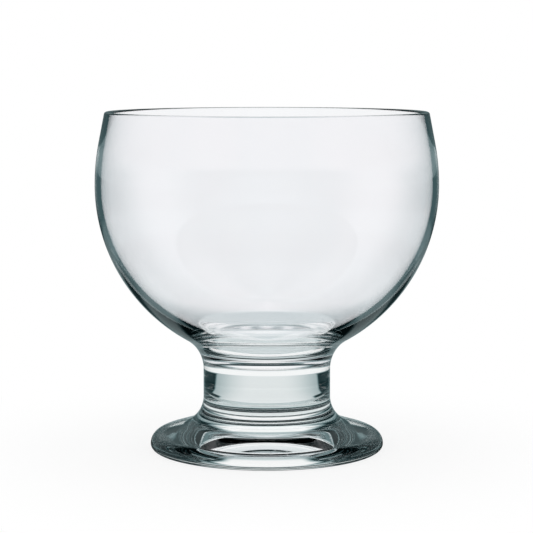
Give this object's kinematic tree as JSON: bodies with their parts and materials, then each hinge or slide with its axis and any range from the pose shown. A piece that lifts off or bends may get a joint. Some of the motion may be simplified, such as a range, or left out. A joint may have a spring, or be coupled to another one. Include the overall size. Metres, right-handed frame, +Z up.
{
  "type": "parfait glass",
  "caption": "Footed dessert glass with a wide round bowl that draws in to a melted rim, a short thick stem and a heavy round foot, fused hot into one rigid piece.",
  "frame": {"origin": "centre of the base, on the plane that the foot stands on", "axes": "+Z up the glass along its axis of symmetry, through foot, stem and bowl; the glass is round, so +X and +Y are any two level directions"},
  "size_m": [0.11, 0.11, 0.1088],
  "materials": {
    "clear_glass": "clear soda glass with a faint green-blue tint, smooth and fire polished"
  },
  "bodies": {
    "root": {"bowl": "clear_glass", "stem": "clear_glass", "foot": "clear_glass"}
  },
  "joints": []
}
